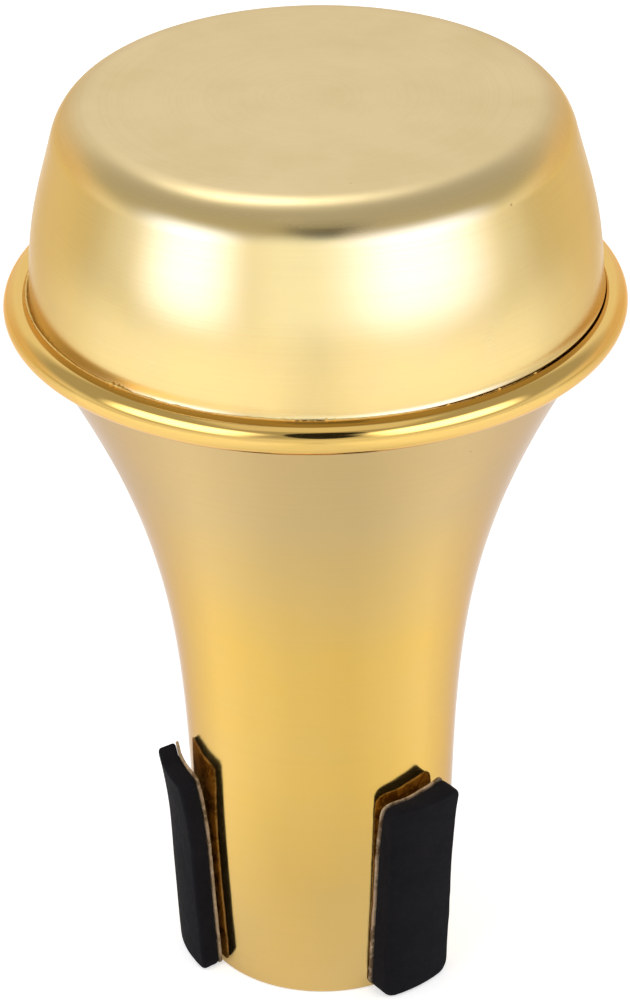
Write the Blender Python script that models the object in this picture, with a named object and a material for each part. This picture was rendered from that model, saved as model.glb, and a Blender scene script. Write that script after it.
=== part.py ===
"""A trumpet mute of spun aluminium: flared body, plug-in end cap and three foam pads on the neck.

It stands on its open narrow end. The origin is the centre of that end and +Z is the turning axis.
Run it with: blender --background --python part.py
"""

import math

import bmesh
import bpy
import numpy as np

# Driving dimensions of the body, in metres and degrees
RIM_DIAMETER = 0.105          # over the rolled bead, the widest place
RIM_HEIGHT = 0.1289           # from the open end up to the middle of the bead
BEAD_DIAMETER = 0.0054        # the bead's round section
BEAD_SLIT = 68                # part of the bead's last turn left open beside the flare, in degrees
BODY_WALL = 0.0008            # sheet thickness
MOUTH_DEPTH = 0.0031          # straight wall below the middle of the bead
NECK_DIAMETER = 0.0441        # outside, at the open end
NECK_TAPER = 3.3              # lean of the neck at the open end, in degrees
NECK_PULL = 0.0544            # how far the flare keeps to the neck's line
FLARE_ANGLE = 30.0            # lean of the flare where it meets the mouth, in degrees
FLARE_PULL = 0.0550           # how far the flare keeps to the mouth's line

# Driving dimensions of the end cap
CAP_RISE = 0.0367             # from the middle of the bead up to the flat top
CAP_WALL = 0.0008             # sheet thickness
SEAT_ANGLE = 61.0             # place on the bead's section where the cap's wall lands, in degrees
SHOULDER_INSET = 0.0048       # how far the wall has come in where the shoulder starts
SHOULDER_DROP = 0.0066        # start of the shoulder below the flat top
SHOULDER_LEAN = 14.5          # lean of the wall at the shoulder, in degrees
SHOULDER_RUN = 0.0055         # from the corner of wall and top to the edge of the flat
SHOULDER_FULLNESS = 0.6       # how far the rounding reaches into that corner, 0 to 1
WALL_RISE_LOW = 0.44          # share of the wall that keeps to its upright foot
WALL_RISE_HIGH = 0.36         # share of the wall that keeps to its lean at the shoulder

# Driving dimensions of the glue and the pads
GLUE_THICKNESS = 0.0003
FIT_GAP = 0.0003              # clearance left between neighbouring pieces
TAPE_THICKNESS = 0.0005
FOAM_THICKNESS = 0.0038
PAD_WIDTH = 0.0132            # across the neck
PAD_LENGTH = 0.0412           # along the neck
PAD_CORNER = 0.0022           # corner radius in the flat
PAD_EDGE_LIFT = 0.0003        # how far the long edges stand off the neck
PAD_CURL = 0.0014             # how far the top end has peeled away from the neck
PAD_CURL_LENGTH = 0.0180      # length of the peeled stretch
PAD_ANGLES = {"right": 40.0, "left": -71.0, "rear": 164.5}  # from the front towards +X, in degrees

# Mesh fineness
TURN_STEPS = 60
FLARE_STEPS = 14
BEAD_STEPS = 14
WALL_STEPS = 6
SHOULDER_STEPS = 6
FOAM_GRID = (8, 12)
TAPE_GRID = (6, 10)
NECK_STEPS = 60
SLOPE_STEP = 0.0005           # height step that a slope is taken over
SHARP_EDGE = 35               # edges that turn more than this shade sharp, in degrees

RIM_RADIUS = RIM_DIAMETER / 2
BEAD_RADIUS = BEAD_DIAMETER / 2
BEAD_CENTRE = RIM_RADIUS - BEAD_RADIUS
MOUTH_RADIUS = RIM_RADIUS - BEAD_DIAMETER
SKIRT_RADIUS = MOUTH_RADIUS - GLUE_THICKNESS - 2 * FIT_GAP
SKIRT_BOTTOM = RIM_HEIGHT - MOUTH_DEPTH + BODY_WALL
SEAT_REACH = BEAD_RADIUS + FIT_GAP
CAP_RADIUS = BEAD_CENTRE - SEAT_REACH * math.cos(math.radians(SEAT_ANGLE))
CAP_FOOT = RIM_HEIGHT + SEAT_REACH * math.sin(math.radians(SEAT_ANGLE))
CAP_TOP = RIM_HEIGHT + CAP_RISE
SKIRT_TOP = CAP_FOOT - (CAP_RADIUS - SKIRT_RADIUS) * math.tan(math.radians(90 - SEAT_ANGLE))


def clear_scene():
    for old in list(bpy.data.objects):
        bpy.data.objects.remove(old, do_unlink=True)


def make_material(name, colour, roughness, metallic):
    material = bpy.data.materials.new(name)
    material.use_nodes = True
    shader = material.node_tree.nodes["Principled BSDF"]
    shader.inputs["Base Color"].default_value = (*colour, 1.0)
    shader.inputs["Roughness"].default_value = roughness
    shader.inputs["Metallic"].default_value = metallic
    return material


def leaning(angle, length):
    """A step of this length in the (radius, height) plane, leaning outwards from upright."""
    lean = math.radians(angle)
    return np.array([math.sin(lean), math.cos(lean)]) * length


def curve_points(start, start_pull, end_pull, end, steps):
    """Points of a smooth curve from start to end. Each pull is the handle point of its end."""
    share = np.linspace(0, 1, steps + 1)[:, None]
    rest = 1 - share
    return (rest**3 * start + 3 * rest**2 * share * start_pull
            + 3 * rest * share**2 * end_pull + share**3 * end)


def arc_points(centre, radius, first, last, steps):
    angles = np.radians(np.linspace(first, last, steps + 1))
    return np.stack([centre[0] + radius * np.cos(angles), centre[1] + radius * np.sin(angles)], 1)


def parallel(points, distance):
    """The path that runs at this distance to the left of a path of (radius, height) points."""
    along = np.diff(points, axis=0)
    along /= np.linalg.norm(along, axis=1)[:, None]
    left = np.stack([-along[:, 1], along[:, 0]], 1)
    before = np.vstack([left[:1], left])
    after = np.vstack([left, left[-1:]])
    corner = 1 + (before * after).sum(1)
    return points + distance * (before + after) / corner[:, None]


def flare_points(steps):
    """The outer face of the neck and flare, from the open end up to the mouth."""
    foot = np.array([NECK_DIAMETER / 2, 0.0])
    mouth = np.array([MOUTH_RADIUS + BODY_WALL, RIM_HEIGHT - MOUTH_DEPTH])
    return curve_points(foot, foot + leaning(NECK_TAPER, NECK_PULL),
                        mouth - leaning(FLARE_ANGLE, FLARE_PULL), mouth, steps)


def turned_mesh(name, outline):
    """Turns a closed outline of (radius, height) points once round the Z axis."""
    mesh = bpy.data.meshes.new(name)
    work = bmesh.new()
    points = [work.verts.new((radius, 0.0, height)) for radius, height in outline]
    edges = [work.edges.new((a, b)) for a, b in zip(points, points[1:] + points[:1])
             if a.co.x > 0 or b.co.x > 0]
    bmesh.ops.spin(work, geom=points + edges, cent=(0, 0, 0), axis=(0, 0, 1),
                   angle=math.tau, steps=TURN_STEPS, use_merge=True)
    bmesh.ops.remove_doubles(work, verts=work.verts, dist=1e-6)
    bmesh.ops.recalc_face_normals(work, faces=work.faces)
    work.to_mesh(mesh)
    work.free()
    return mesh


def place(name, mesh, material, holder):
    mesh.materials.append(material)
    mesh.shade_smooth()
    mesh.set_sharp_from_angle(angle=math.radians(SHARP_EDGE))
    piece = bpy.data.objects.new(name, mesh)
    piece.parent = holder
    bpy.context.scene.collection.objects.link(piece)
    return piece


def make_body_shell(holder):
    """One sheet: neck, flare, straight mouth, and its edge rolled outwards into the bead."""
    bead = arc_points((BEAD_CENTRE, RIM_HEIGHT), BEAD_RADIUS - BODY_WALL, 180, BEAD_SLIT - 180, BEAD_STEPS)
    outside = np.vstack([flare_points(FLARE_STEPS), bead])
    inside = parallel(outside, BODY_WALL)
    inside[0, 1] = 0.0
    gold = make_material("shell_gold", (0.83, 0.60, 0.24), 0.22, 1.0)
    return place("body_shell", turned_mesh("body_shell", np.vstack([outside, inside[::-1]])), gold, holder)


def make_end_cap(holder):
    """A cup whose wall lands on the bead and steps in to a skirt that plugs into the mouth."""
    foot = np.array([CAP_RADIUS, CAP_FOOT])
    skirt = np.array([[SKIRT_RADIUS, SKIRT_BOTTOM], [SKIRT_RADIUS, SKIRT_TOP]])
    shoulder = np.array([CAP_RADIUS - SHOULDER_INSET, CAP_TOP - SHOULDER_DROP])
    wall_height = shoulder[1] - foot[1]
    low_pull = leaning(0, WALL_RISE_LOW * wall_height)
    high_pull = leaning(-SHOULDER_LEAN, WALL_RISE_HIGH * wall_height)
    wall = curve_points(foot, foot + low_pull, shoulder - high_pull, shoulder, WALL_STEPS)
    corner = shoulder + leaning(-SHOULDER_LEAN, SHOULDER_DROP / math.cos(math.radians(SHOULDER_LEAN)))
    flat_edge = corner - np.array([SHOULDER_RUN, 0.0])
    rounding = curve_points(shoulder, shoulder + SHOULDER_FULLNESS * (corner - shoulder),
                            flat_edge + SHOULDER_FULLNESS * (corner - flat_edge), flat_edge, SHOULDER_STEPS)
    outside = np.vstack([skirt, wall, rounding[1:], [[0.0, CAP_TOP]]])
    inside = parallel(outside, CAP_WALL)
    inside[-1, 0] = 0.0
    gold = make_material("cap_gold", (0.80, 0.62, 0.30), 0.34, 1.0)
    return place("end_cap", turned_mesh("end_cap", np.vstack([outside, inside[::-1]])), gold, holder)


def make_cap_adhesive(holder):
    """The ring of glue between the cap's skirt and the straight mouth of the body."""
    outer = MOUTH_RADIUS - FIT_GAP
    inner = outer - GLUE_THICKNESS
    top = SKIRT_TOP - FIT_GAP
    outline = [(outer, SKIRT_BOTTOM), (outer, top), (inner, top), (inner, SKIRT_BOTTOM)]
    glue = make_material("clear_glue", (0.72, 0.58, 0.32), 0.15, 0.0)
    return place("cap_adhesive", turned_mesh("cap_adhesive", outline), glue, holder)


def bent_strip(name, offset, thickness, grid):
    """A strip at the front, bent to follow the neck this far off its outer face, with round corners.

    Its sides stay parallel, as on a thick strip that was cut flat and then pressed on. Its thickness
    is laid off square to the slope of the neck and of the peeled top end.
    """
    neck = flare_points(NECK_STEPS)

    def reach(across, height):
        peeled = max(0.0, 1 - (FIT_GAP + PAD_LENGTH - height) / PAD_CURL_LENGTH)
        lift = PAD_EDGE_LIFT * (2 * across / PAD_WIDTH) ** 2 + PAD_CURL * peeled**2
        radius = np.interp(height, neck[:, 1], neck[:, 0]) + offset + lift
        return math.sqrt(radius**2 - across**2)

    mesh = bpy.data.meshes.new(name)
    work = bmesh.new()
    bmesh.ops.create_grid(work, x_segments=grid[0], y_segments=grid[1], size=0.5)
    for vert in work.verts:
        along = PAD_LENGTH * (1 + math.sin(math.pi * vert.co.y)) / 2
        cut = PAD_CORNER - max(0.0, min(PAD_CORNER, along, PAD_LENGTH - along))
        half_width = PAD_WIDTH / 2 - PAD_CORNER + math.sqrt(PAD_CORNER**2 - cut**2)
        across = 2 * vert.co.x * half_width
        height = FIT_GAP + along
        vert.co = (across, -reach(across, height), height)
    raised = bmesh.ops.extrude_face_region(work, geom=work.faces[:], use_keep_orig=True)["geom"]
    for vert in [item for item in raised if isinstance(item, bmesh.types.BMVert)]:
        across, height = vert.co.x, vert.co.z
        rise = reach(across, height + SLOPE_STEP) - reach(across, height - SLOPE_STEP)
        lean = math.atan2(rise, 2 * SLOPE_STEP)
        vert.co.y -= thickness * math.cos(lean)
        vert.co.z -= thickness * math.sin(lean)
    bmesh.ops.recalc_face_normals(work, faces=work.faces)
    work.to_mesh(mesh)
    work.free()
    return mesh


def make_pads(holder):
    """Three foam strips on adhesive tape, spread round the neck."""
    tape = make_material("pad_tape", (0.42, 0.31, 0.22), 0.60, 0.0)
    foam = make_material("pad_foam", (0.012, 0.012, 0.014), 0.90, 0.0)
    tape_mesh = bent_strip("pad_tape", FIT_GAP, TAPE_THICKNESS, TAPE_GRID)
    foam_mesh = bent_strip("foam_pad", 2 * FIT_GAP + TAPE_THICKNESS, FOAM_THICKNESS, FOAM_GRID)
    for side, angle in PAD_ANGLES.items():
        for kind, mesh, material in (("pad_tape_", tape_mesh, tape), ("foam_pad_", foam_mesh, foam)):
            strip = place(kind + side, mesh.copy(), material, holder)
            strip.rotation_euler.z = math.radians(angle)


def build():
    clear_scene()
    holder = bpy.data.objects.new("mute", None)
    bpy.context.scene.collection.objects.link(holder)
    make_body_shell(holder)
    make_end_cap(holder)
    make_cap_adhesive(holder)
    make_pads(holder)


build()
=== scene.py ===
import math

import bmesh
import bpy
import numpy as np
from mathutils import Matrix, Vector, noise


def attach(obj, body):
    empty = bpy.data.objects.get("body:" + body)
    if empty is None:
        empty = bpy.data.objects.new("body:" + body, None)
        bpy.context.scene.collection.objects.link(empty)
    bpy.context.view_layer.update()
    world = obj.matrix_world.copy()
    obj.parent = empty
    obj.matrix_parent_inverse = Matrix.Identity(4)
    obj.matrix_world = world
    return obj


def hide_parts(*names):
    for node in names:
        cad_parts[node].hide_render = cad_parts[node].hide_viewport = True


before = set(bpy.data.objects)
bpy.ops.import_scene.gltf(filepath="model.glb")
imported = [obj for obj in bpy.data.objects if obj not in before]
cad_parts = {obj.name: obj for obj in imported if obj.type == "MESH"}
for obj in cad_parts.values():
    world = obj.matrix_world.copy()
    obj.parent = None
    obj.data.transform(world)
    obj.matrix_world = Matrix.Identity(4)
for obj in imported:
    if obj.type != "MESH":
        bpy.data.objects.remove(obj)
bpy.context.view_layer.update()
scene = bpy.context.scene
print("mute frame loaded")


# camera, at the photo's angle; all sizes in this script are in metres
cameraSetup = {
    "place": (0.0, -0.6252, 0.4490),
    "pitch": 0.5225,      # looking down, in radians
    "yaw": -0.0009,
    "roll": -0.0141,
    "lens": 150.12,
    "sensor": 36,
    "clip": (0.01, 50),
}


def addCamera(setup):
    pitch, yaw, roll = setup["pitch"], setup["yaw"], setup["roll"]
    level = math.cos(pitch)
    ahead = Vector((math.sin(yaw) * level, math.cos(yaw) * level, -math.sin(pitch)))
    side = Vector((math.cos(yaw), -math.sin(yaw), 0.0))
    over = side.cross(ahead)
    right = math.cos(roll) * side + math.sin(roll) * over
    up = math.cos(roll) * over - math.sin(roll) * side
    data = bpy.data.cameras.new("muteCamera")
    data.sensor_width = setup["sensor"]
    data.lens = setup["lens"]
    data.clip_start, data.clip_end = setup["clip"]
    camera = bpy.data.objects.new("muteCamera", data)
    scene.collection.objects.link(camera)
    turn = Matrix((right, up, -ahead)).transposed().to_4x4()
    camera.matrix_world = Matrix.Translation(setup["place"]) @ turn
    scene.camera = camera


addCamera(cameraSetup)
print("camera placed")


# small helpers for node trees
def newMaterial(name):
    material = bpy.data.materials.new(name)
    material.use_nodes = True
    tree = material.node_tree
    return material, tree, tree.nodes["Principled BSDF"]


def addNode(tree, kind, **settings):
    node = tree.nodes.new(kind)
    for key, value in settings.items():
        setattr(node, key, value)
    return node


# gives a socket another node's output, a colour or a plain number
def feed(tree, socket, value):
    if isinstance(value, bpy.types.NodeSocket):
        tree.links.new(value, socket)
    elif isinstance(value, tuple):
        socket.default_value = (*value, 1.0)
    else:
        socket.default_value = value


def mathNode(tree, operation, *values, clamp=False):
    node = addNode(tree, "ShaderNodeMath", operation=operation, use_clamp=clamp)
    for index, value in enumerate(values):
        feed(tree, node.inputs[index], value)
    return node.outputs[0]


def spreadValue(tree, value, low, high, toLow=0.0, toHigh=1.0, shape="LINEAR"):
    node = addNode(tree, "ShaderNodeMapRange", interpolation_type=shape)
    feed(tree, node.inputs["Value"], value)
    for label, number in (("From Min", low), ("From Max", high), ("To Min", toLow), ("To Max", toHigh)):
        node.inputs[label].default_value = number
    return node.outputs["Result"]


def blendColour(tree, mask, first, second):
    node = addNode(tree, "ShaderNodeMix", data_type="RGBA")
    for label, value in (("Factor", mask), ("A", first), ("B", second)):
        feed(tree, node.inputs[label], value)
    return node.outputs["Result"]


def textureCoords(tree, kind="Object"):
    return addNode(tree, "ShaderNodeTexCoord").outputs[kind]


def splitVector(tree, vector):
    node = addNode(tree, "ShaderNodeSeparateXYZ")
    feed(tree, node.inputs[0], vector)
    return node.outputs


def noiseNode(tree, coords, scale, detail=2.0, roughness=0.5):
    node = addNode(tree, "ShaderNodeTexNoise")
    for label, value in (("Vector", coords), ("Scale", scale), ("Detail", detail), ("Roughness", roughness)):
        feed(tree, node.inputs[label], value)
    return node.outputs[0]


noiseSpan = (0.3, 0.7)    # most values of such a noise lie in here


def cellNode(tree, coords, scale):
    node = addNode(tree, "ShaderNodeTexVoronoi")
    feed(tree, node.inputs["Vector"], coords)
    node.inputs["Scale"].default_value = scale
    return node.outputs


def bumpNode(tree, height, strength, distance):
    node = addNode(tree, "ShaderNodeBump")
    node.inputs["Strength"].default_value = strength
    node.inputs["Distance"].default_value = distance
    feed(tree, node.inputs["Height"], height)
    return node


def startGroup(name, inputs, outputs):
    group = bpy.data.node_groups.new(name, "ShaderNodeTree")
    for label, value in inputs.items():
        socket = group.interface.new_socket(label, in_out="INPUT", socket_type="NodeSocketFloat")
        socket.default_value = value
    for label in outputs:
        group.interface.new_socket(label, in_out="OUTPUT", socket_type="NodeSocketFloat")
    return group, addNode(group, "NodeGroupInput").outputs, addNode(group, "NodeGroupOutput").inputs


def placeGroup(tree, group, **values):
    node = addNode(tree, "ShaderNodeGroup", node_tree=group)
    for label, value in values.items():
        node.inputs[label].default_value = value
    return node.outputs


# fine rings left by spinning and buffing, round the turning axis
spinSetup = {
    "inputs": {"Rings": 2200.0, "Drift": 14.0},
    "change": 3.0,         # how much a ring changes on its way round
    "driftDetail": 1.0,
    "ringDetail": 3.0,
    "marked": (0.42, 0.68),
}


def makeSpinMarks(setup):
    group, given, result = startGroup("spinMarks", setup["inputs"], ("Height", "Mask"))
    coords = textureCoords(group)
    x, y, z = splitVector(group, coords)
    squares = [mathNode(group, "MULTIPLY", axis, axis) for axis in (x, y)]
    radius = mathNode(group, "SQRT", mathNode(group, "ADD", *squares))
    drift = noiseNode(group, coords, given["Drift"], setup["driftDetail"])
    ringed = addNode(group, "ShaderNodeCombineXYZ")
    feed(group, ringed.inputs["X"], mathNode(group, "MULTIPLY", radius, given["Rings"]))
    feed(group, ringed.inputs["Y"], mathNode(group, "MULTIPLY", z, given["Rings"]))
    feed(group, ringed.inputs["Z"], mathNode(group, "MULTIPLY", drift, setup["change"]))
    rings = noiseNode(group, ringed.outputs[0], 1.0, setup["ringDetail"])
    feed(group, result["Height"], rings)
    feed(group, result["Mask"], spreadValue(group, rings, *setup["marked"]))
    return group


# soft cloudy patches from polishing and handling, with a slow unevenness of the sheet and rare specks
handlingSetup = {
    "inputs": {"Patches": 45.0, "Waves": 22.0},
    "hazeDetail": 4.0,
    "hazeRoughness": 0.6,
    "hazed": (0.40, 0.66),
    "waveDetail": 1.0,
    "cells": 160.0,
    "speck": (0.05, 0.02),    # from its edge to its dark middle, in cells
    "clean": 0.93,            # this share of the cells has no speck
}


def makeHandling(setup):
    group, given, result = startGroup("handledSheet", setup["inputs"], ("Haze", "Waviness", "Specks"))
    coords = textureCoords(group)
    haze = noiseNode(group, coords, given["Patches"], setup["hazeDetail"], setup["hazeRoughness"])
    feed(group, result["Haze"], spreadValue(group, haze, *setup["hazed"]))
    feed(group, result["Waviness"], noiseNode(group, coords, given["Waves"], setup["waveDetail"]))
    cells = cellNode(group, coords, setup["cells"])
    near = spreadValue(group, cells["Distance"], *setup["speck"])
    chance = addNode(group, "ShaderNodeSeparateColor")
    feed(group, chance.inputs[0], cells["Color"])
    rare = mathNode(group, "GREATER_THAN", chance.outputs[0], setup["clean"])
    feed(group, result["Specks"], mathNode(group, "MULTIPLY", near, rare))
    return group


spinMarks = makeSpinMarks(spinSetup)
handledSheet = makeHandling(handlingSetup)


# gold finish on spun sheet; its tone changes from low to high over a band of heights
goldSetup = {
    "drift": 14.0,
    "speckColour": (0.20, 0.12, 0.03),
    "waveDistance": 0.0012,
    "markDistance": 0.00002,
    # the foot tone is partly painted shade: the shaded floor near the base as the gold mirrors it
    "footShadeTo": 0.045,       # a foot tone fades out from the bottom up to here
}


def makeGold(name, low, high, band, foot=None):
    material, tree, shader = newMaterial(name)
    height = splitVector(tree, textureCoords(tree))[2]
    risen = spreadValue(tree, height, *band)
    marks = placeGroup(tree, spinMarks, Rings=low["rings"], Drift=goldSetup["drift"])
    sheet = placeGroup(tree, handledSheet, Patches=low["patches"], Waves=low["waves"])

    def mixed(key):
        tone = blendColour(tree, risen, low[key], high[key])
        if foot is None:
            return tone
        # fades in the foot tone, which is partly painted shade mirrored from the shaded floor near the base
        footShade = spreadValue(tree, height, 0.0, goldSetup["footShadeTo"], 1.0, 0.0)
        return blendColour(tree, footShade, tone, foot[key])

    colour = blendColour(tree, sheet["Haze"], mixed("colour"), mixed("hazeColour"))
    lining = mathNode(tree, "MULTIPLY", marks["Mask"], low["markDepth"])
    lined = blendColour(tree, lining, colour, mixed("markColour"))
    dotting = mathNode(tree, "MULTIPLY", sheet["Specks"], low["speckDepth"])
    feed(tree, shader.inputs["Base Color"], blendColour(tree, dotting, lined, goldSetup["speckColour"]))
    rough = spreadValue(tree, risen, 0.0, 1.0, low["rough"], high["rough"])
    rough = mathNode(tree, "MULTIPLY_ADD", sheet["Haze"], low["hazeRough"], rough)
    rough = mathNode(tree, "MULTIPLY_ADD", marks["Mask"], low["markRough"], rough, clamp=True)
    feed(tree, shader.inputs["Roughness"], rough)
    shader.inputs["Metallic"].default_value = 1.0
    # the pinkish edge tint is a painted reflection: it stands for the pinkish room mirrored at grazing
    # angles
    shader.inputs["Specular Tint"].default_value = (*low["edgeTint"], 1.0)
    slow = bumpNode(tree, sheet["Waviness"], low["waveStrength"], goldSetup["waveDistance"])
    fine = bumpNode(tree, marks["Height"], low["markStrength"], goldSetup["markDistance"])
    feed(tree, fine.inputs["Normal"], slow.outputs[0])
    feed(tree, shader.inputs["Normal"], fine.outputs[0])
    return material


# edgeTint in these tones is a painted reflection of the pinkish room at grazing angles
capWallTone = {
    "colour": (0.83, 0.625, 0.258), "hazeColour": (0.80, 0.61, 0.27), "markColour": (0.77, 0.565, 0.21),
    "edgeTint": (0.82, 0.73, 0.66), "rough": 0.20, "hazeRough": 0.05, "markRough": 0.03,
    "rings": 2600.0, "patches": 60.0, "waves": 20.0,
    "markDepth": 0.18, "markStrength": 0.15, "waveStrength": 0.04, "speckDepth": 0.5,
}
capTopTone = {
    "colour": (0.77, 0.620, 0.350), "hazeColour": (0.73, 0.59, 0.32), "markColour": (0.70, 0.56, 0.29),
    "rough": 0.37,
}
beadTone = {
    "colour": (0.79, 0.53, 0.155), "hazeColour": (0.77, 0.52, 0.17), "markColour": (0.73, 0.47, 0.11),
    "edgeTint": (1.0, 0.84, 0.74), "rough": 0.06, "hazeRough": 0.04, "markRough": 0.02,
    "rings": 1800.0, "patches": 60.0, "waves": 30.0,
    "markDepth": 0.15, "markStrength": 0.06, "waveStrength": 0.03, "speckDepth": 0.4,
}
neckTone = {
    "colour": (0.775, 0.508, 0.124), "hazeColour": (0.755, 0.51, 0.148), "markColour": (0.725, 0.47, 0.115),
    "edgeTint": (0.78, 0.69, 0.67), "rough": 0.085, "hazeRough": 0.04, "markRough": 0.03,
    "rings": 2200.0, "patches": 40.0, "waves": 18.0,
    "markDepth": 0.18, "markStrength": 0.10, "waveStrength": 0.03, "speckDepth": 0.4,
}
# paler, greyer gold high on the flare: partly the sheet's tone and partly painted reflection of the shaded
# floor under the mute
flareTone = {
    "colour": (0.65, 0.482, 0.215), "hazeColour": (0.63, 0.475, 0.22), "markColour": (0.60, 0.435, 0.18),
    "rough": 0.17,
}
# darker, duller gold at the foot: partly the sheet's tone and partly painted shade, the shaded floor near
# the base as the gold mirrors it
footTone = {
    "colour": (0.645, 0.455, 0.170), "hazeColour": (0.63, 0.45, 0.18), "markColour": (0.605, 0.42, 0.15),
}
toneBands = {"cap": (0.1618, 0.1650), "bead": (0.0, 1.0), "body": (0.074, 0.105)}
capGold = makeGold("capGold", capWallTone, capTopTone, toneBands["cap"])
beadGold = makeGold("beadGold", beadTone, beadTone, toneBands["bead"])
# the body's flare and foot tones are partly painted reflection and shade of the floor below
bodyGold = makeGold("bodyGold", neckTone, flareTone, toneBands["body"], footTone)
print("gold finishes made")


# profiles as (radius, height) points; a lean is from upright, in degrees
def leaning(angle, length):
    lean = math.radians(angle)
    return np.array([math.sin(lean), math.cos(lean)]) * length


def curvePoints(start, startPull, endPull, end, steps):
    t = np.linspace(0, 1, steps + 1)[:, None]
    u = 1 - t
    return u**3 * start + 3 * u**2 * t * startPull + 3 * u * t**2 * endPull + t**3 * end


def arcPoints(centre, radius, first, last, steps):
    angles = np.radians(np.linspace(first, last, steps + 1))
    return np.stack([centre[0] + radius * np.cos(angles), centre[1] + radius * np.sin(angles)], 1)


# the same line, set off to its left
def beside(points, distance):
    along = np.diff(points, axis=0)
    along /= np.linalg.norm(along, axis=1)[:, None]
    left = np.stack([-along[:, 1], along[:, 0]], 1)
    before, after = np.vstack([left[:1], left]), np.vstack([left, left[-1:]])
    return points + distance * (before + after) / (1 + (before * after).sum(1))[:, None]


def linkPiece(name, mesh, materials):
    piece = bpy.data.objects.new(name, mesh)
    scene.collection.objects.link(piece)
    for material in materials:
        mesh.materials.append(material)
    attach(piece, "root")
    return piece


def closeMesh(work, name):
    bmesh.ops.recalc_face_normals(work, faces=work.faces)
    mesh = bpy.data.meshes.new(name)
    work.to_mesh(mesh)
    work.free()
    return mesh


# turns a closed outline once round the axis; zones gives the material of each stretch of the outline
def turnOutline(name, outline, zones, turns):
    work = bmesh.new()
    onAxis = 1e-7
    bearings = [math.tau * k / turns for k in range(turns)]
    rings = []
    for radius, height in outline:
        if radius < onAxis:
            rings.append([work.verts.new((0, 0, height))])
        else:
            circle = [(radius * math.sin(a), -radius * math.cos(a), height) for a in bearings]
            rings.append([work.verts.new(spot) for spot in circle])
    for lower, upper, zone in zip(rings, rings[1:] + rings[:1], zones):
        if len(lower) == 1 and len(upper) == 1:
            continue
        for k in range(turns):
            n = (k + 1) % turns
            first, second = k % len(lower), n % len(lower)
            corners = [lower[first], lower[second], upper[n % len(upper)], upper[k % len(upper)]]
            face = work.faces.new(list(dict.fromkeys(corners)))
            face.material_index = zone
            face.smooth = True
    return closeMesh(work, name)


# the spun body with its rolled bead
bodySizes = {
    "beadCentre": (0.0498, 0.1289),
    "beadRadius": 0.0027,
    "beadSlit": 68,            # degrees left open in the roll
    "sheet": 0.0008,
    "mouthRadius": 0.0471,
    "mouthDepth": 0.0031,      # the flare ends this far below the bead's centre
    "neckRadius": 0.02205,
    "neckTaper": 3.3,
    "neckPull": 0.0544,
    "flareAngle": 30.0,
    "flarePull": 0.0550,
    "lipRounding": 0.00022,
    "lipCut": 0.3,             # share of the rounding cut off at 45 degrees
    "flareSteps": 110,
    "beadSteps": 44,
    "turns": 240,
}


def flareLine(sizes, steps):
    foot = np.array([sizes["neckRadius"], 0.0])
    mouth = np.array([sizes["mouthRadius"] + sizes["sheet"], sizes["beadCentre"][1] - sizes["mouthDepth"]])
    neckPull = leaning(sizes["neckTaper"], sizes["neckPull"])
    flarePull = leaning(sizes["flareAngle"], sizes["flarePull"])
    return curvePoints(foot, foot + neckPull, mouth - flarePull, mouth, steps)


def makeBody(sizes):
    sheet, lip = sizes["sheet"], sizes["lipRounding"]
    cut = lip * sizes["lipCut"]
    outer, inner = sizes["neckRadius"], sizes["neckRadius"] - sheet
    flare = flareLine(sizes, sizes["flareSteps"])
    rollEnd = sizes["beadSlit"] - 180
    rolled = arcPoints(sizes["beadCentre"], sizes["beadRadius"] - sheet, 180, rollEnd, sizes["beadSteps"])
    outside = np.vstack([flare, rolled])
    inside = beside(outside, sheet)
    outside[0] = (outer, lip)
    inside[0] = (inner, lip)
    lipLine = [(inner + cut, cut), (inner + lip, 0.0), (outer - lip, 0.0), (outer - cut, cut)]
    outline = np.vstack([outside, inside[::-1], np.array(lipLine)])
    rollStart = len(flare) - 1
    rollStop = 2 * len(outside) - len(flare) + 2
    zones = [1 if rollStart <= index < rollStop else 0 for index in range(len(outline))]
    mesh = turnOutline("spunBody", outline, zones, sizes["turns"])
    body = linkPiece("spunBody", mesh, (bodyGold, beadGold))
    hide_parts("body_shell")


makeBody(bodySizes)
print("body built")


# the end cap, whose wall steps in to a skirt inside the mouth; pulls are shares of their stretch
capSizes = {
    "top": 0.16535,
    "sheet": 0.0008,
    "wallRadius": 0.04850,
    "wallLean": 1.5,          # it first leans in by this
    "wallPulls": (0.43, 0.36),
    "foot": 0.13131,
    "footFlare": 0.00030,     # the lower edge turns out by this much
    "footRise": 0.0017,
    "footLean": 26,
    "footPulls": (0.3, 0.4),
    "footRounding": 0.00010,
    "footLift": 1.7,          # the flared edge starts this many roundings up
    "rimBearing": 38,
    "rimArc": (-75, 32),
    "skirtRadius": 0.0462,
    "skirtBottom": 0.1267,
    "stepSlope": 0.554,
    "shoulderInset": 0.00495,
    "shoulderDrop": 0.0065,
    "shoulderLean": 14.5,
    "shoulderRun": 0.0055,
    "shoulderPull": 0.6,
    "shift": 0.0002,          # the cap sits a hair to the right
    "tilt": 0.0045,           # and is pushed down further at the left, in radians
    "edgeFade": 0.0014,       # height over which the unevenness of the lower edge fades out
    "edgeLine": (             # that edge isn't cut quite level; bearing in degrees and lift
        (-180, 0.0), (-130, -0.00002), (-5, -0.00003), (-3, 0.00006), (0, 0.00005), (2, -0.00003),
        (19, -0.00003), (25, 0.00004), (34, 0.00012), (60, 0.00018), (100, 0.00020), (150, 0.00004),
        (180, 0.0),
    ),
    "wallSteps": 40,
    "shoulderSteps": 30,
    "footSteps": 10,
    "rimSteps": 7,
    "topSteps": 11,
    "turns": 240,
}


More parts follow.
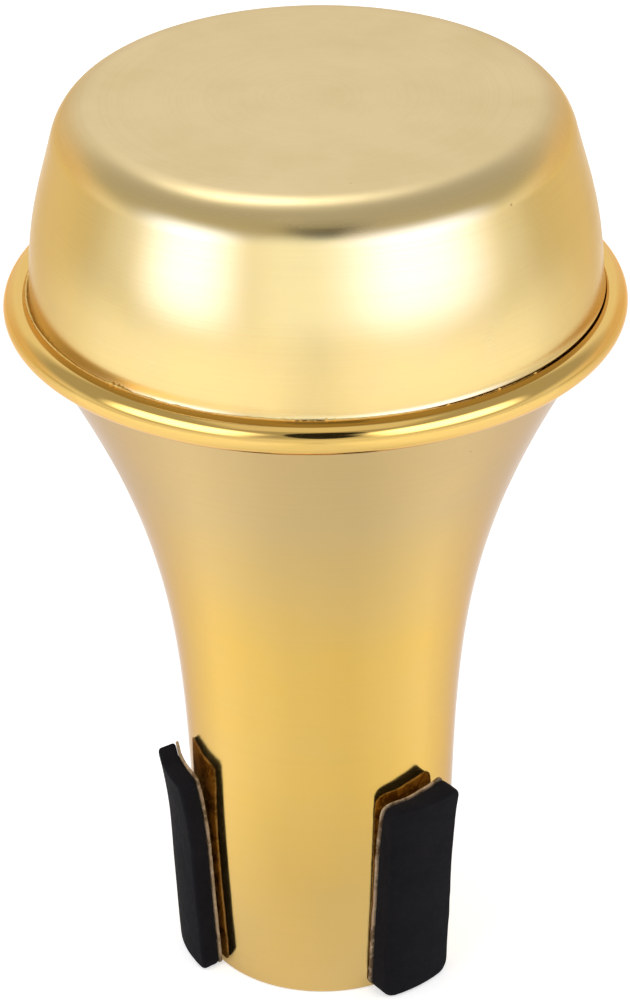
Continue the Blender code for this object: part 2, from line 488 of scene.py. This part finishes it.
def capOutline(sizes):
    radius, bottom, rise = sizes["wallRadius"], sizes["foot"], sizes["footRise"]
    lean, pull, rounding = sizes["shoulderLean"], sizes["shoulderPull"], sizes["footRounding"]
    edge = np.array([radius, bottom + sizes["footLift"] * rounding])
    foot = edge + np.array([-sizes["footFlare"], rise])
    shoulder = np.array([radius - sizes["shoulderInset"], sizes["top"] - sizes["shoulderDrop"]])
    wallHeight = shoulder[1] - bottom
    wallStart = leaning(-sizes["wallLean"], sizes["wallPulls"][0] * wallHeight)
    wallEnd = leaning(-lean, sizes["wallPulls"][1] * wallHeight)
    wall = curvePoints(foot, foot + wallStart, shoulder - wallEnd, shoulder, sizes["wallSteps"])
    corner = shoulder + leaning(-lean, sizes["shoulderDrop"] / math.cos(math.radians(lean)))
    flatEdge = corner - np.array([sizes["shoulderRun"], 0.0])
    rounded = curvePoints(shoulder, shoulder + pull * (corner - shoulder),
                          flatEdge + pull * (corner - flatEdge), flatEdge, sizes["shoulderSteps"])
    footStart = leaning(-sizes["footLean"], sizes["footPulls"][0] * rise)
    footEnd = leaning(-sizes["wallLean"], sizes["footPulls"][1] * rise)
    flare = curvePoints(edge, edge + footStart, foot - footEnd, foot, sizes["footSteps"])
    bearing = math.radians(sizes["rimBearing"])
    rim = edge - rounding * np.array([math.cos(bearing), math.sin(bearing)])
    turnIn = arcPoints(rim, rounding, *sizes["rimArc"], sizes["rimSteps"])
    stepTop = bottom - (radius - sizes["skirtRadius"]) * sizes["stepSlope"]
    skirt = np.array([[sizes["skirtRadius"], sizes["skirtBottom"]], [sizes["skirtRadius"], stepTop]])
    inwards = np.linspace(flatEdge[0], 0.0, sizes["topSteps"] + 1)[1:]
    flat = np.stack([inwards, np.full(sizes["topSteps"], sizes["top"])], 1)
    outside = np.vstack([skirt, turnIn, flare, wall[1:], rounded[1:], flat])
    inside = beside(outside, sizes["sheet"])
    inside[-1, 0] = 0.0
    return np.vstack([outside, inside[::-1]])


def liftEdge(mesh, sizes):
    bearings, lifts = zip(*sizes["edgeLine"])
    edgeTop = sizes["foot"] + sizes["footRise"]
    for vertex in mesh.vertices:
        x, y, z = vertex.co
        if z < edgeTop and math.hypot(x, y) > sizes["skirtRadius"] + sizes["sheet"]:
            share = min(1.0, (edgeTop - z) / sizes["edgeFade"])
            vertex.co.z += share * float(np.interp(math.degrees(math.atan2(x, -y)), bearings, lifts))


def makeCap(sizes):
    outline = capOutline(sizes)
    mesh = turnOutline("endCapDressed", outline, [0] * len(outline), sizes["turns"])
    liftEdge(mesh, sizes)
    pivot = Matrix.Translation((0.0, 0.0, sizes["foot"]))
    mesh.transform(pivot @ Matrix.Rotation(-sizes["tilt"], 4, "Y") @ pivot.inverted())
    mesh.transform(Matrix.Translation((sizes["shift"], 0.0, 0.0)))
    cap = linkPiece("endCapDressed", mesh, (capGold,))
    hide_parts("end_cap")


makeCap(capSizes)
print("end cap built")


# clear glue: the hidden ring keeps its solid, and a squeezed-out bead shows along part of the seam
glueFinish = {
    "pale": (0.97, 0.69, 0.22),
    "deep": (0.84, 0.54, 0.13),
    "lumps": 900.0,
    "rough": (0.08, 0.25),
    "ior": 1.4,
    "transmission": 0.15,
    "bumpStrength": 0.3,
    "bumpDistance": 0.0001,
}


def makeGlueMaterial(finish):
    material, tree, shader = newMaterial("clearGlue")
    lumps = noiseNode(tree, textureCoords(tree), finish["lumps"])
    feed(tree, shader.inputs["Base Color"], blendColour(tree, lumps, finish["pale"], finish["deep"]))
    feed(tree, shader.inputs["Roughness"], spreadValue(tree, lumps, *noiseSpan, *finish["rough"]))
    shader.inputs["Metallic"].default_value = 0.0
    shader.inputs["IOR"].default_value = finish["ior"]
    shader.inputs["Transmission Weight"].default_value = finish["transmission"]
    bump = bumpNode(tree, lumps, finish["bumpStrength"], finish["bumpDistance"])
    feed(tree, shader.inputs["Normal"], bump.outputs[0])
    return material


# bearings are in degrees from the front; a wave is its size, its rate along the seam and its seeds
glueSizes = {
    "radius": 0.04870,
    "thick": 0.00024,
    "from": -125,
    "to": 48,
    "full": 19,               # from here on only thin threads of it show
    "thinning": 5,            # degrees
    "threads": 0.15,
    "bare": (-4.4, 1.3),      # and a short stretch in front is nearly bare
    "bareShare": 0.2,
    "swell": 0.78,
    "leastSwell": 0.25,
    "leastEnd": 0.02,
    "waves": ((0.42, 9.0, 1.7, 4.0), (0.25, 40.0, 5.1, 0.0)),
    "lumpWave": (1.5, 90.0, 3.0, 0.0),
    "lumps": (                # bearing, spread and height
        (-63, 2.0, 0.00008), (-43, 0.8, 0.00016), (-41.2, 0.6, 0.00022), (-39.5, 0.9, 0.00016),
        (-6.6, 0.5, 0.00012), (-4.8, 0.35, 0.00026), (-3.3, 0.22, 0.00018), (-1.7, 0.3, 0.00022),
        (-0.6, 0.2, 0.00014), (1.5, 0.35, 0.00024), (3.4, 0.5, 0.00014), (25, 0.5, 0.00014),
        (36.5, 0.3, 0.00018), (46, 0.3, 0.00022),
    ),
    "width": 0.9,             # across and up, as shares of its thickness
    "height": 0.75,
    "lift": 0.35,
    "steps": 1100,
    "endSteps": 14,
    "around": 12,
}


def glueWave(angle, wave):
    size, rate, row, seed = wave
    return size * noise.noise(Vector((angle * rate, row, seed)))


def glueThickness(angle, index, sizes):
    bearing = math.degrees(angle)
    ends = min(1.0, index / sizes["endSteps"], (sizes["steps"] - 1 - index) / sizes["endSteps"])
    swell = sizes["swell"] + sum(glueWave(angle, wave) for wave in sizes["waves"])
    fading = max(sizes["threads"], min(1.0, 1 - (bearing - sizes["full"]) / sizes["thinning"]))
    if sizes["bare"][0] < bearing < sizes["bare"][1]:
        fading = sizes["bareShare"]
    tapering = math.sqrt(max(ends, sizes["leastEnd"]))
    thick = sizes["thick"] * max(sizes["leastSwell"], swell) * fading * tapering
    lumpy = max(0.0, 1 + glueWave(angle, sizes["lumpWave"]))
    for place, spread, height in sizes["lumps"]:
        thick += height * math.exp(-((bearing - place) / spread) ** 2) * lumpy
    return thick


def makeGlue(sizes):
    clearGlue = makeGlueMaterial(glueFinish)
    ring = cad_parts["cap_adhesive"]
    ring.data.materials.clear()
    ring.data.materials.append(clearGlue)
    work = bmesh.new()
    around, shift = sizes["around"], capSizes["shift"]
    beadRound, beadHigh = bodySizes["beadCentre"]
    loops = []
    for index, angle in enumerate(np.radians(np.linspace(sizes["from"], sizes["to"], sizes["steps"]))):
        thick = glueThickness(angle, index, sizes)
        loop = []
        for k in range(around):
            turn = math.tau * k / around
            radius = sizes["radius"] + thick * math.cos(turn) * sizes["width"]
            across = beadRound - radius - shift * math.sin(angle)
            beadTop = beadHigh + math.sqrt(bodySizes["beadRadius"] ** 2 - across**2)
            height = beadTop + thick * (math.sin(turn) * sizes["height"] + sizes["lift"])
            spot = (radius * math.sin(angle) + shift, -radius * math.cos(angle), height)
            loop.append(work.verts.new(spot))
        loops.append(loop)
    for lower, upper in zip(loops, loops[1:]):
        for k in range(around):
            n = (k + 1) % around
            work.faces.new((lower[k], lower[n], upper[n], upper[k])).smooth = True
    work.faces.new(loops[0])
    work.faces.new(loops[-1])
    linkPiece("gluedSeam", closeMesh(work, "gluedSeam"), (clearGlue,))


makeGlue(glueSizes)
print("glue built")


# black foam, with open cells, a fine grain and a little dust
foamFinish = {
    "dark": (0.0062, 0.0057, 0.0078),
    "pale": (0.0092, 0.0084, 0.0112),
    "dust": (0.022, 0.021, 0.024),
    "dusted": (0.60, 0.78, 0.0, 0.35),
    "cells": 3200.0,
    "cellDepth": 0.5,
    "grain": 900.0,
    "grainDetail": 5.0,
    "clouds": 130.0,
    "rough": (0.82, 0.97),
    "specular": 0.08,
    "sheen": 0.015,
    "sheenRough": 0.6,
    "bumpStrength": 0.55,
    "bumpDistance": 0.00012,
}


def makeFoamMaterial(finish):
    material, tree, shader = newMaterial("blackFoam")
    coords = textureCoords(tree)
    cells = cellNode(tree, coords, finish["cells"])["Distance"]
    grain = noiseNode(tree, coords, finish["grain"], finish["grainDetail"])
    clouds = spreadValue(tree, noiseNode(tree, coords, finish["clouds"]), *noiseSpan)
    base = blendColour(tree, clouds, finish["dark"], finish["pale"])
    dusty = blendColour(tree, spreadValue(tree, grain, *finish["dusted"]), base, finish["dust"])
    feed(tree, shader.inputs["Base Color"], dusty)
    feed(tree, shader.inputs["Roughness"], spreadValue(tree, grain, *noiseSpan, *finish["rough"]))
    shader.inputs["Specular IOR Level"].default_value = finish["specular"]
    shader.inputs["Sheen Weight"].default_value = finish["sheen"]
    shader.inputs["Sheen Roughness"].default_value = finish["sheenRough"]
    height = mathNode(tree, "MULTIPLY_ADD", cells, finish["cellDepth"], grain)
    bump = bumpNode(tree, height, finish["bumpStrength"], finish["bumpDistance"])
    feed(tree, shader.inputs["Normal"], bump.outputs[0])
    return material


# tan adhesive backing, fibrous and soiled in patches
tapeFinish = {
    "clean": (0.40, 0.28, 0.17),
    "soil": (0.13, 0.075, 0.03),
    "fibre": (0.62, 0.49, 0.34),
    "soilPatches": 260.0,
    "soilDetail": 3.0,
    "soiled": (0.42, 0.56),
    "fibres": 1400.0,
    "fibreDetail": 4.0,
    "raised": (0.5, 0.72, 0.0, 0.75),
    "rough": (0.55, 0.75),
    "bumpStrength": 0.4,
    "bumpDistance": 0.00008,
}


def makeTapeMaterial(finish):
    material, tree, shader = newMaterial("tanTape")
    coords = textureCoords(tree)
    fibres = noiseNode(tree, coords, finish["fibres"], finish["fibreDetail"])
    soil = noiseNode(tree, coords, finish["soilPatches"], finish["soilDetail"])
    base = blendColour(tree, spreadValue(tree, soil, *finish["soiled"]), finish["clean"], finish["soil"])
    colour = blendColour(tree, spreadValue(tree, fibres, *finish["raised"]), base, finish["fibre"])
    feed(tree, shader.inputs["Base Color"], colour)
    feed(tree, shader.inputs["Roughness"], spreadValue(tree, fibres, *noiseSpan, *finish["rough"]))
    bump = bumpNode(tree, fibres, finish["bumpStrength"], finish["bumpDistance"])
    feed(tree, shader.inputs["Normal"], bump.outputs[0])
    return material


# the pads are strips of foam on backing, each a slab with round corners and edges laid on the neck
padSteps = {
    "columns": 26,
    "rows": 64,
    "corner": 8,
    "edge": 5,
    "side": 5,
    "crowding": 0.35,     # columns stand closer together towards the sides by this share
}
padLayers = {             # from is off the neck; the backing is a little larger than the foam
    "backing": {"from": 0.0003, "edge": 0.00010, "grow": 0.00005, "uneven": 0.00022},
    "foam": {"from": 0.0009, "edge": 0.00055, "grow": 0.0, "uneven": 0.00012},
}
backingThickness = 0.0005
padWobble = {             # rates are per metre
    "fine": 300,
    "fineOut": 200,
    "broad": 80,
    "broadShare": 1.6,
    "sidePower": 6,       # sides and ends wobble, the middle stays true
    "endPower": 12,
    "face": 0.5,
}
padPlaces = {             # angles in degrees from the front; slants are how much lower a top corner is
    "right": {
        "angle": 39.9, "width": 0.0140, "low": 0.0003, "length": 0.0413, "foam": 0.0041, "skew": 0.03,
        "corner": 0.0019, "slantLeft": 0.0010, "slantRight": 0.0007, "pressed": 0.42,
        "spreadLeft": 0.0001, "spreadRight": 0.0004, "lift": -0.0001,
        "peel": 0.0012, "peelLength": 0.020, "seed": 3.0,
    },
    "left": {
        "angle": -70.3, "width": 0.0113, "low": 0.0003, "length": 0.0414, "foam": 0.0033, "skew": -0.05,
        "corner": 0.0009, "slantLeft": 0.0, "slantRight": 0.0010, "pressed": 0.0,
        "spreadLeft": 0.0000, "spreadRight": 0.0010, "lift": 0.0003,
        "peel": 0.0014, "peelLength": 0.018, "seed": 11.0,
    },
    "rear": {
        "angle": 164.5, "width": 0.0132, "low": 0.0003, "length": 0.0410, "foam": 0.0039, "skew": 0.01,
        "corner": 0.0015, "slantLeft": 0.0003, "slantRight": 0.0, "pressed": 0.1,
        "spreadLeft": 0.0010, "spreadRight": 0.0010, "lift": 0.0001,
        "peel": 0.0010, "peelLength": 0.017, "seed": 23.0,
    },
}
padSeat = {"lineSteps": 80, "slopeReach": 0.0005, "lowest": 0.00015}
neckLine = flareLine(bodySizes, padSeat["lineSteps"])


def neckRadius(height):
    return float(np.interp(height, neckLine[:, 1], neckLine[:, 0]))


# across and along are on the strip, out is the distance off the neck, square to its slope
def padPoint(across, along, out, place):
    height = place["low"] + along
    thickness = padLayers["foam"]["from"] + place["foam"]
    peeled = max(0.0, 1 - (place["length"] - along) / place["peelLength"])
    reach = padSeat["slopeReach"]
    slope = (neckRadius(height + reach) - neckRadius(height - reach)) / (2 * reach)
    slope += 2 * place["peel"] * peeled / place["peelLength"]
    spread = place["spreadLeft"] if across < 0 else place["spreadRight"]
    wide = across * (1 + out / thickness * spread * 2 / place["width"])
    base = math.sqrt(neckRadius(height) ** 2 - across**2) + place["lift"] + place["peel"] * peeled**2
    upright = 1 / math.hypot(1, slope)
    depth = base + out * upright
    turn = math.radians(place["angle"]) + place["skew"] * (along / place["length"] - 0.5)
    x = depth * math.sin(turn) + wide * math.cos(turn)
    y = wide * math.sin(turn) - depth * math.cos(turn)
    return Vector((x, y, max(height - out * slope * upright, padSeat["lowest"])))


def quarterShares(steps):
    return [math.pi / 2 * share for share in np.linspace(0, 1, steps)]


# where the rows of a slab lie, from -1 at its lower end to 1, with close rows round the corners
def slabRows(cornerShare):
    curved = [math.cos(s) * cornerShare for s in quarterShares(padSteps["corner"] + 1)]
    straightSteps = padSteps["rows"] // 2 - padSteps["corner"] + 1
    straight = list(np.linspace(0, 1 - cornerShare, straightSteps))[:-1]
    upper = straight + [1 - cornerShare + c for c in curved[::-1]]
    return [-v for v in upper[:0:-1]] + upper


# depth in the slab and inset from its outline, from the neck's side to the outer face
def slabDepths(thickness, edge):
    shares = quarterShares(padSteps["edge"])
    rounding = [(edge * (1 - math.cos(s)), edge * (1 - math.sin(s))) for s in shares]
    middle = np.linspace(edge, thickness - edge, padSteps["side"] + 2)[1:-1]
    outer = [(thickness - depth, inset) for depth, inset in rounding[::-1]]
    return rounding + [(depth, 0.0) for depth in middle] + outer


def makeSlab(name, place, layer, thickness, material):
    grow = layer["grow"]
    halfWide, halfLong = place["width"] / 2 + grow, place["length"] / 2 + grow
    crowding, corner, seed = padSteps["crowding"], place["corner"], place["seed"]
    columns = np.linspace(-1, 1, padSteps["columns"] + 1)
    across = [math.sin(math.pi / 2 * s) * crowding + s * (1 - crowding) for s in columns]
    along = slabRows(corner / halfLong)
    depths = slabDepths(thickness, layer["edge"])
    work = bmesh.new()
    made = {}

    def wobbleAt(x, y, depth):
        fine = Vector((x * padWobble["fine"], y * padWobble["fine"], seed + depth * padWobble["fineOut"]))
        broad = Vector((x * padWobble["broad"], y * padWobble["broad"], seed * 2))
        return layer["uneven"] * (noise.noise(fine) + padWobble["broadShare"] * noise.noise(broad))

    def slabPoint(i, j, k):
        depth, inset = depths[k]
        wide, long = halfWide - inset, halfLong - inset
        y = long * along[j]
        cut = min(corner, max(0.0, abs(y) - (long - corner)))
        x = (wide - corner + math.sqrt(corner**2 - cut**2)) * across[i]
        wobble = wobbleAt(x, y, depth)
        sideways = wobble * abs(across[i]) ** padWobble["sidePower"]
        lengthways = wobble * abs(along[j]) ** padWobble["endPower"]
        leftShare = 0.5 - x / place["width"]
        topShare = max(0.0, y / halfLong)
        slant = place["slantRight"] + (place["slantLeft"] - place["slantRight"]) * leftShare
        pressed = 1 - place["pressed"] * max(0.0, leftShare) * topShare**2
        face = wobble * padWobble["face"] * max(0.0, depth / thickness - 0.5)
        out = layer["from"] + depth * pressed + face
        upStrip = y + halfLong - grow + lengthways - slant * topShare
        return padPoint(x + math.copysign(sideways, x), upStrip, out, place)

    def vertex(index):
        if index not in made:
            made[index] = work.verts.new(slabPoint(*index))
        return made[index]

    last = (len(across) - 1, len(along) - 1, len(depths) - 1)

    def coverSide(fixed, end, first, second):
        for a in range(last[first]):
            for b in range(last[second]):
                corners = []
                for da, db in ((0, 0), (1, 0), (1, 1), (0, 1)):
                    index = [0, 0, 0]
                    index[fixed], index[first], index[second] = end, a + da, b + db
                    corners.append(vertex(tuple(index)))
                work.faces.new(corners).smooth = True

    for fixed, first, second in ((0, 1, 2), (1, 0, 2), (2, 0, 1)):
        coverSide(fixed, 0, first, second)
        coverSide(fixed, last[fixed], first, second)
    return linkPiece(name, closeMesh(work, name), (material,))


def makePads(places):
    foam, tape = makeFoamMaterial(foamFinish), makeTapeMaterial(tapeFinish)
    for side, place in places.items():
        backing = makeSlab("backing_" + side, place, padLayers["backing"], backingThickness,
                           tape)
        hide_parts("pad_tape_" + side)
        strip = makeSlab("foam_" + side, place, padLayers["foam"], place["foam"],
                         foam)
        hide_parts("foam_pad_" + side)


makePads(padPlaces)
print("pads built")


# pale floor with a soft glow; the gold mirrors it, so it glows more or less by place
# aside is the distance from the middle, y runs away from the viewer
floorSetup = {
    "colour": (0.80, 0.80, 0.80),
    "radius": 3.0,
    "below": 0.0002,
    "glow": 0.25,
    "seenGlow": 0.11,         # added where the camera sees the floor itself
    "asideGlows": ((0.030, 0.105, 0.20), (0.18, 0.30, 0.07)),    # from, to and how much is added
    "asideUntil": (-0.055, 0.01),                                # and fading out over these y
    "depthGlows": ((-0.050, -0.010, 0.20), (0.10, 0.70, 0.46), (-0.25, -0.80, 0.28)),
    "dim": 0.36,              # the floor is dimmer to both sides behind
    "dimAside": (0.10, 0.26),
    "dimBehind": (-0.01, 0.25),
    "warm": (1.0, 0.78, 0.30),    # and warmer in the gold
}


# 1 for what is seen directly, mirrored or through something clear, and 0 for what only lights
def seenRays(tree, path):
    seen = mathNode(tree, "ADD", path["Is Camera Ray"], path["Is Glossy Ray"])
    return mathNode(tree, "ADD", seen, path["Is Transmission Ray"], clamp=True)


def makeFloorMaterial(setup):
    material = bpy.data.materials.new("paleFloor")
    material.use_nodes = True
    tree = material.node_tree
    tree.nodes.clear()
    output = addNode(tree, "ShaderNodeOutputMaterial")
    matt = addNode(tree, "ShaderNodeBsdfDiffuse")
    matt.inputs["Color"].default_value = (*setup["colour"], 1.0)
    glow = addNode(tree, "ShaderNodeEmission")
    path = addNode(tree, "ShaderNodeLightPath").outputs
    parts = splitVector(tree, textureCoords(tree))
    aside, y = mathNode(tree, "ABSOLUTE", parts[0]), parts[1]
    pools = 0.0
    for low, high, added in setup["asideGlows"]:
        pools = mathNode(tree, "ADD", spreadValue(tree, aside, low, high, 0.0, added), pools)
    pools = mathNode(tree, "MULTIPLY", pools, spreadValue(tree, y, *setup["asideUntil"], 1.0, 0.0))
    strength = mathNode(tree, "ADD", pools, setup["glow"])
    for low, high, added in setup["depthGlows"]:
        strength = mathNode(tree, "ADD", strength, spreadValue(tree, y, low, high, 0.0, added))
    dim = mathNode(tree, "MULTIPLY", spreadValue(tree, aside, *setup["dimAside"]),
                   spreadValue(tree, y, *setup["dimBehind"]))
    mirrored = mathNode(tree, "MULTIPLY", dim, path["Is Glossy Ray"])
    feed(tree, glow.inputs["Color"], blendColour(tree, mirrored, (1.0, 1.0, 1.0), setup["warm"]))
    strength = mathNode(tree, "MULTIPLY", strength, mathNode(tree, "MULTIPLY_ADD", dim, -setup["dim"], 1.0))
    strength = mathNode(tree, "MULTIPLY_ADD", path["Is Camera Ray"], setup["seenGlow"], strength)
    feed(tree, glow.inputs["Strength"], mathNode(tree, "MULTIPLY", seenRays(tree, path), strength))
    both = addNode(tree, "ShaderNodeAddShader")
    tree.links.new(matt.outputs[0], both.inputs[0])
    tree.links.new(glow.outputs[0], both.inputs[1])
    tree.links.new(both.outputs[0], output.inputs["Surface"])
    return material


def makeFloor(setup):
    mesh = bpy.data.meshes.new("paleFloor")
    work = bmesh.new()
    bmesh.ops.create_circle(work, cap_ends=True, radius=setup["radius"], segments=64)
    work.to_mesh(mesh)
    work.free()
    floor = bpy.data.objects.new("paleFloor", mesh)
    floor.location.z = -setup["below"]
    scene.collection.objects.link(floor)
    mesh.materials.append(makeFloorMaterial(setup))


# white backdrop all round, with a grey ceiling that comes lower at both sides, and a warmer, greyer
# room to the sides behind; the spans are of the direction's x, y and z
roomSetup = {
    "fill": 0.38,
    "fillColour": (0.97, 0.98, 1.0),
    "ceiling": (0.52, 0.51, 0.49),
    "ceilingFrom": (0.42, 0.68),
    "ceilingTilt": -0.25,
    "lowerAside": (0.30, 0.88, 0.0, 0.37),
    "sides": (0.88, 0.72, 0.53),
    "sidesAside": (0.25, 0.65),
    "sidesLean": 0.1,
    "sidesBehind": (0.0, 0.45),
    "sidesLow": (0.55, 0.35),
}


def makeRoom(setup):
    world = bpy.data.worlds.new("whiteStudio")
    scene.world = world
    world.use_nodes = True
    tree = world.node_tree
    tree.nodes.clear()
    output = addNode(tree, "ShaderNodeOutputWorld")
    path = addNode(tree, "ShaderNodeLightPath").outputs
    x, y, z = splitVector(tree, textureCoords(tree, "Generated"))
    wide = mathNode(tree, "ABSOLUTE", x)
    raised = mathNode(tree, "MULTIPLY_ADD", y, setup["ceilingTilt"], z)
    raised = mathNode(tree, "ADD", spreadValue(tree, wide, *setup["lowerAside"]), raised)
    high = spreadValue(tree, raised, *setup["ceilingFrom"])
    leaned = mathNode(tree, "MULTIPLY_ADD", x, setup["sidesLean"], wide)
    aside = spreadValue(tree, leaned, *setup["sidesAside"])
    behind = spreadValue(tree, y, *setup["sidesBehind"])
    low = spreadValue(tree, z, *setup["sidesLow"])
    shaded = mathNode(tree, "MULTIPLY", mathNode(tree, "MULTIPLY", aside, behind), low)
    colour = blendColour(tree, shaded, (1.0, 1.0, 1.0), setup["sides"])
    backdrop = addNode(tree, "ShaderNodeBackground")
    feed(tree, backdrop.inputs["Color"], blendColour(tree, high, colour, setup["ceiling"]))
    soft = addNode(tree, "ShaderNodeBackground")
    soft.inputs["Color"].default_value = (*setup["fillColour"], 1.0)
    soft.inputs["Strength"].default_value = setup["fill"]
    mix = addNode(tree, "ShaderNodeMixShader")
    tree.links.new(seenRays(tree, path), mix.inputs[0])
    tree.links.new(soft.outputs[0], mix.inputs[1])
    tree.links.new(backdrop.outputs[0], mix.inputs[2])
    tree.links.new(mix.outputs[0], output.inputs["Surface"])


# soft lamps and a dark card, each by its bearing from the front in degrees, its distance from the
# axis, height and size; soft is the evenly bright share of its middle, lights is what it shines on
softBoxes = {
    "capLeftBox": {
        "angle": -51, "away": 0.50, "height": 0.223, "size": (0.54, 0.385), "soft": 0.12, "glow": 3.2,
        "tint": (0.42, 0.56, 1.22), "lights": "cap",
    },
    "capRightBox": {
        "angle": 41, "away": 0.50, "height": 0.229, "size": (0.86, 0.385), "soft": 0.12, "glow": 3.1,
        "tint": (0.42, 0.54, 1.22), "lights": "cap",
    },
    "capMiddleBox": {
        "angle": -6, "away": 0.50, "height": 0.225, "size": (0.42, 0.385), "soft": 0.35, "glow": 0.34,
        "tint": (0.70, 1.0, 1.65), "lights": "cap",
    },
    "capFrontBox": {
        "angle": 2, "away": 0.42, "height": 0.62, "size": (0.34, 0.34), "soft": 0.3, "glow": 0.45,
        "tint": (1.0, 1.0, 1.0), "lights": "cap",
    },
    "leftBox": {
        "angle": -51, "away": 0.50, "height": 0.41, "size": (0.66, 0.47), "soft": 0.35, "glow": 3.15,
        "tint": (1.0, 1.0, 1.0), "lights": "allButCap",
    },
    "rightBox": {
        "angle": 47.5, "away": 0.50, "height": 0.41, "size": (0.68, 0.47), "soft": 0.35, "glow": 3.15,
        "tint": (1.0, 1.0, 1.0), "lights": "allButCap",
    },
    "topBox": {
        "angle": 204, "away": 0.38, "height": 1.15, "size": (0.84, 0.46), "soft": 0.5, "glow": 3.5,
        "tint": (1.0, 1.0, 1.0), "lights": "allButBody",
    },
    "overBox": {
        "angle": 0, "away": 0.12, "height": 1.05, "size": (0.90, 0.70), "soft": 0.6, "glow": 0.38,
        "tint": (1.0, 0.97, 0.92), "lights": "allButCap",
    },
}
aimPoint = (0.0, 0.0, 0.14)

# the bead mirrors a dark camera and the person behind it, for which this card stands
cameraCard = {
    "angle": 3.4, "away": 0.60, "height": 0.64, "size": (0.345, 0.56), "grey": 0.015, "rough": 0.9,
    "corners": 32,
}


def placed(setup):
    turn = math.radians(setup["angle"])
    spot = Vector((setup["away"] * math.sin(turn), -setup["away"] * math.cos(turn), setup["height"]))
    return spot, (Vector(aimPoint) - spot).to_track_quat("-Z", "Y").to_euler()


# the photo's cap and body mirror lights that no one set of boxes gives both, so each has its own
lightRules = {
    "cap": ("endCapDressed", "INCLUDE"),
    "allButCap": ("endCapDressed", "EXCLUDE"),
    "allButBody": ("spunBody", "EXCLUDE"),
}


def makeLightGroups(rules):
    groups = {}
    for label, (piece, state) in rules.items():
        group = bpy.data.collections.new(label + "Lit")
        group.objects.link(bpy.data.objects[piece])
        group.collection_objects[0].light_linking.link_state = state
        groups[label] = group
    return groups


# a lamp behind a cloth, brightest in the middle and fading to its edges
def addSoftBox(name, box, groups):
    wide, tall = box["size"]
    data = bpy.data.lights.new(name, "AREA")
    data.shape = "RECTANGLE"
    data.size, data.size_y = wide, tall
    data.energy = box["glow"] * math.pi * wide * tall
    data.color = box["tint"]
    data.use_nodes = True
    tree = data.node_tree
    surface = addNode(tree, "ShaderNodeNewGeometry")
    fades = []
    for axis in splitVector(tree, surface.outputs["Parametric"])[:2]:
        edge = mathNode(tree, "ABSOLUTE", mathNode(tree, "MULTIPLY_ADD", axis, 2.0, -1.0))
        fades.append(spreadValue(tree, edge, 1.0, box["soft"], shape="SMOOTHSTEP"))
    feed(tree, tree.nodes["Emission"].inputs["Strength"], mathNode(tree, "MULTIPLY", *fades))
    lamp = bpy.data.objects.new(name, data)
    lamp.location, lamp.rotation_euler = placed(box)
    lamp.visible_camera = False
    scene.collection.objects.link(lamp)
    lamp.light_linking.receiver_collection = groups[box["lights"]]


def addCard(name, card):
    material, tree, shader = newMaterial(name)
    shader.inputs["Base Color"].default_value = (card["grey"],) * 3 + (1.0,)
    shader.inputs["Roughness"].default_value = card["rough"]
    corners = card["corners"]
    turns = [math.tau * k / corners for k in range(corners)]
    wide, tall = card["size"][0] / 2, card["size"][1] / 2
    mesh = bpy.data.meshes.new(name)
    mesh.from_pydata([(wide * math.cos(a), tall * math.sin(a), 0) for a in turns], [], [range(corners)])
    mesh.materials.append(material)
    piece = bpy.data.objects.new(name, mesh)
    piece.location, piece.rotation_euler = placed(card)
    piece.visible_camera = False
    piece.visible_diffuse = False
    piece.visible_shadow = False
    scene.collection.objects.link(piece)


makeFloor(floorSetup)
makeRoom(roomSetup)
lightGroups = makeLightGroups(lightRules)
for boxName, box in softBoxes.items():
    addSoftBox(boxName, box, lightGroups)
addCard("cameraCard", cameraCard)
scene.view_settings.view_transform = "Standard"
print("floor and lights placed")
